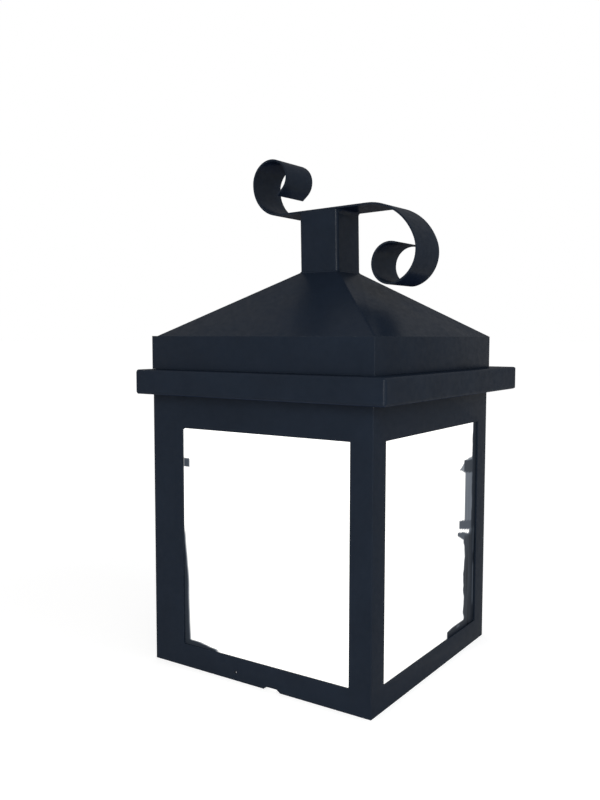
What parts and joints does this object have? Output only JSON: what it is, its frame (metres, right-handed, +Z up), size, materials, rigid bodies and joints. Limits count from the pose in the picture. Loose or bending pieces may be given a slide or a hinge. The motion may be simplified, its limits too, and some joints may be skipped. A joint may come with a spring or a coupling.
{
  "type": "wall lantern",
  "caption": "Square welded-steel wall lantern with frosted panes, a tube ledge, a lift-off hip cap with a neck and S-scroll, and a back plate drilled for wall screws.",
  "frame": {"origin": "centre of the four wall-screw holes on the back plate's wall face", "axes": "+X to the right when facing the lantern's front, +Y into the wall, +Z up"},
  "size_m": [0.238, 0.219, 0.4078],
  "materials": {
    "black_paint": "satin",
    "frosted_glass": "frosted",
    "zinc_steel": "zinc plated",
    "brass": "plain",
    "porcelain": "glazed",
    "lamp_glass": "opal",
    "rubber": "matt",
    "sealant": "satin"
  },
  "bodies": {
    "root": {"foot_rail_front": "black_paint", "foot_rail_left": "black_paint", "foot_rail_right": "black_paint", "foot_rail_rear": "black_paint", "post_front_left": "black_paint", "post_front_right": "black_paint", "rear_stile_left": "black_paint", "rear_stile_right": "black_paint", "back_plate": "black_paint", "band_front": "black_paint", "band_left": "black_paint", "band_right": "black_paint", "band_rear": "black_paint", "ledge_front": "black_paint", "ledge_left": "black_paint", "ledge_right": "black_paint", "skirt_front": "black_paint", "skirt_left": "black_paint", "skirt_right": "black_paint", "skirt_rear": "black_paint", "roof_front": "black_paint", "roof_left": "black_paint", "roof_right": "black_paint", "roof_rear": "black_paint", "neck_tube": "black_paint", "scroll_strip": "black_paint", "front_pane_tongues": "black_paint", "left_pane_tongue": "black_paint", "right_pane_tongue": "black_paint", "lamp_strap": "zinc_steel", "nipple": "zinc_steel", "nipple_washer": "zinc_steel", "nipple_nut": "zinc_steel", "earth_screw": "zinc_steel", "earth_nut": "zinc_steel", "screw_shell": "brass", "centre_contact": "brass", "pane_front": "frosted_glass", "pane_left": "frosted_glass", "pane_right": "frosted_glass", "lampholder": "porcelain", "bulb": "lamp_glass", "cable_grommet": "rubber", "front_pane_sealant": "sealant", "left_pane_sealant": "sealant"}
  },
  "joints": []
}
